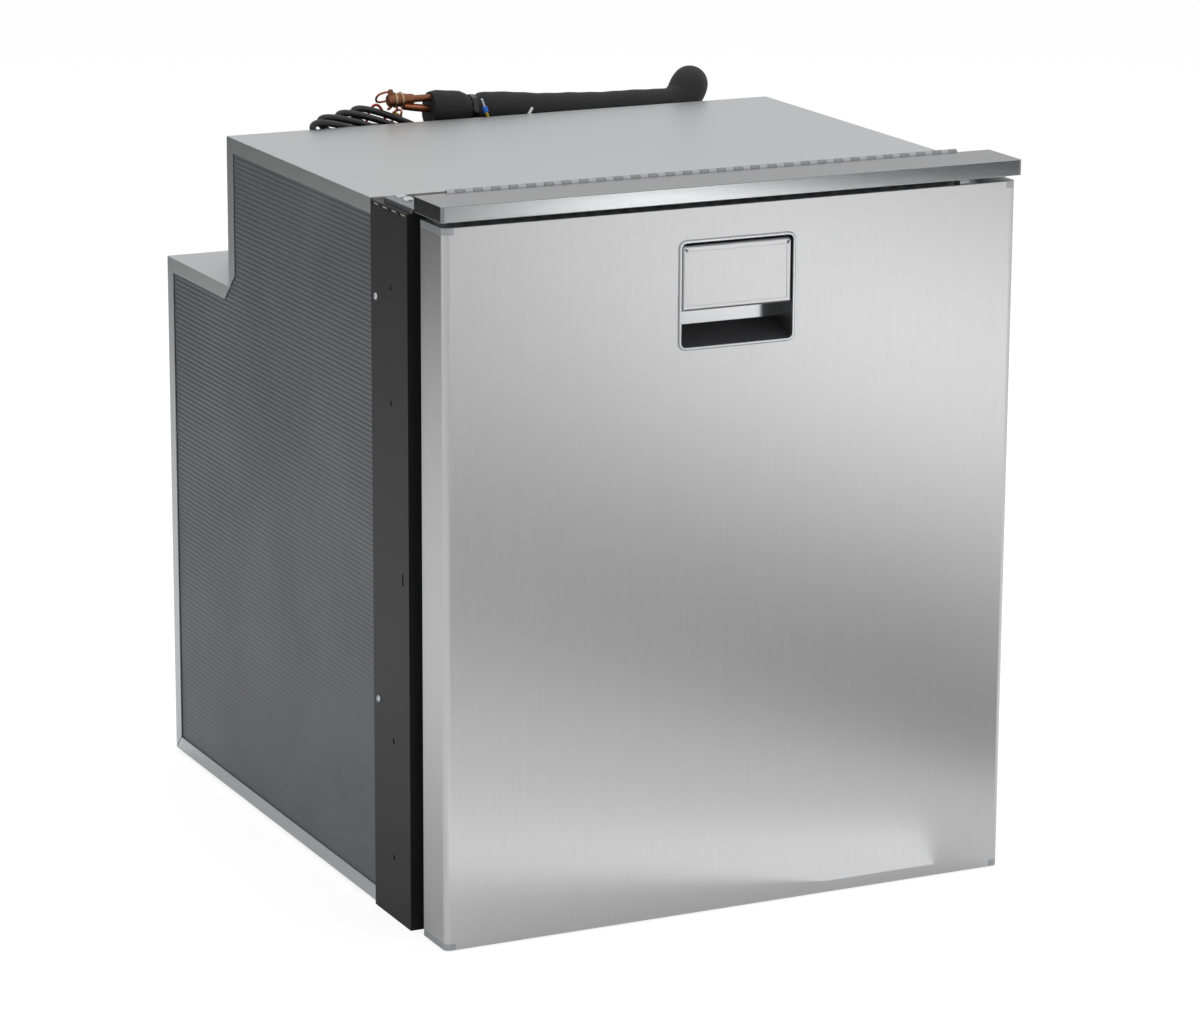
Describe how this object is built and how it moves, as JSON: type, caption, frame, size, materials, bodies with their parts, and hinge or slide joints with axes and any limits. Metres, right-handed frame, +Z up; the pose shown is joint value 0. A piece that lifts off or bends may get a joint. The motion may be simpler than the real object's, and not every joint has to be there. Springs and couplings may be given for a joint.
{
  "type": "drawer refrigerator",
  "caption": "Built-in drawer refrigerator: brushed front panel with pull handle, hinged top flap, black mounting frame, insulated cabinet with sliding baskets and a cooling unit on its rear step.",
  "frame": {"origin": "on the standing plane below the middle of the whole appliance's bounding box, without its free lead", "axes": "+X to the appliance's right seen from its front, the front faces -Y, +Z up"},
  "size_m": [0.4862, 0.5606, 0.5747],
  "materials": {
    "insulation": "rigid polyurethane foam",
    "stainless": "vertical brush, satin",
    "satin_sheet": "satin coated sheet",
    "dark_ribbed": "dark coated, finely ribbed",
    "black_frame": "fine textured powder coat",
    "liner_white": "vacuum formed polystyrene",
    "zinc": "zinc plated",
    "chrome_trim": "satin chrome",
    "black_plastic": "fine grained",
    "grey_plastic": "smooth moulded",
    "gasket_grey": "soft magnetic seal",
    "rubber_black": "moulded",
    "copper": "drawn copper tube",
    "aluminium": "mill finish",
    "compressor_black": "semi gloss paint",
    "lens_clear": "clear prismatic",
    "lead_black": "soft extruded sheath",
    "core_white": "core insulation",
    "wire_red": "core insulation",
    "basket_grey": "moulded basket"
  },
  "bodies": {
    "cabinet": {"foam_core": "insulation", "cabinet_wrap": "satin_sheet", "side_panel_left": "dark_ribbed", "side_panel_right": "dark_ribbed", "inner_liner": "liner_white", "mounting_frame": "black_frame", "frame_screws": "zinc", "latch_cup": "black_plastic", "hinge_bracket_left": "zinc", "hinge_bracket_right": "zinc", "bracket_screws": "zinc", "flap_stops": "rubber_black", "hinge_fixed_leaf": "zinc", "hinge_pin": "zinc", "rear_pads": "rubber_black", "evaporator_plate": "aluminium", "thermostat_housing": "liner_white", "lamp_lens": "lens_clear", "compressor": "compressor_black", "compressor_base": "zinc", "compressor_feet": "rubber_black", "electronic_unit": "black_plastic", "condenser": "aluminium", "condenser_bends": "copper", "condenser_pipes": "copper", "fan_housing": "black_plastic", "filter_drier": "copper", "suction_sleeve": "rubber_black", "suction_line": "copper", "sleeve_tie": "black_plastic", "line_joint": "copper", "capillary_tube": "copper", "supply_lead": "lead_black", "lead_cores": "core_white", "unit_wires": "wire_red", "slide_outer_left": "zinc", "slide_outer_right": "zinc"},
    "drawer": {"front_skin": "stainless", "end_cap_top": "grey_plastic", "end_cap_bottom": "grey_plastic", "door_foam": "insulation", "door_liner": "liner_white", "door_gasket": "gasket_grey", "handle_bezel": "chrome_trim", "handle_tray": "black_plastic", "paddle_pin": "zinc", "drawer_bracket_left": "zinc", "drawer_bracket_right": "zinc", "slide_inner_left": "zinc", "slide_inner_right": "zinc", "lower_basket": "basket_grey", "upper_basket": "basket_grey"},
    "slide_left": {"slide_middle_left": "zinc"},
    "slide_right": {"slide_middle_right": "zinc"},
    "handle": {"handle_paddle": "stainless"},
    "latch": {"latch_bolt": "zinc"},
    "flap": {"top_flap": "stainless", "hinge_moving_leaf": "zinc"},
    "fan": {"fan_rotor": "black_plastic"},
    "knob": {"thermostat_knob": "grey_plastic"}
  },
  "joints": [
    {"name": "drawer_slide", "type": "slide", "parent": "cabinet", "child": "drawer", "axis": [0, -1, 0], "range_m": [0, 0.4]},
    {"name": "slide_left_travel", "type": "slide", "parent": "cabinet", "child": "slide_left", "axis": [0, -1, 0], "range_m": [0, 0.2]},
    {"name": "slide_right_travel", "type": "slide", "parent": "cabinet", "child": "slide_right", "axis": [0, -1, 0], "range_m": [0, 0.2]},
    {"name": "flap_hinge", "type": "hinge", "parent": "cabinet", "child": "flap", "pos_m": [0, -0.2271, 0.563], "axis": [-1, 0, 0], "range_deg": [0, 95]},
    {"name": "paddle_hinge", "type": "hinge", "parent": "drawer", "child": "handle", "pos_m": [0, -0.2727, 0.5164], "axis": [-1, 0, 0], "range_deg": [0, 30]},
    {"name": "latch_travel", "type": "slide", "parent": "drawer", "child": "latch", "axis": [0, 0, -1], "range_m": [0, 0.0066], "stiffness_N_per_m": 100, "springref_m": -0.002},
    {"name": "fan_spin", "type": "hinge", "parent": "cabinet", "child": "fan", "pos_m": [-0.1495, 0.21, 0.473], "axis": [1, 0, 0], "continuous": true},
    {"name": "knob_turn", "type": "hinge", "parent": "cabinet", "child": "knob", "pos_m": [0.042, -0.1993, 0.4915], "axis": [0, -1, 0], "range_deg": [0, 270]}
  ],
  "couplings": [
    {"joint": "slide_left_travel", "follows": "drawer_slide", "ratio": 0.5},
    {"joint": "slide_right_travel", "follows": "drawer_slide", "ratio": 0.5},
    {"joint": "paddle_hinge", "follows": "latch_travel", "rad_per_m": 79.333}
  ]
}
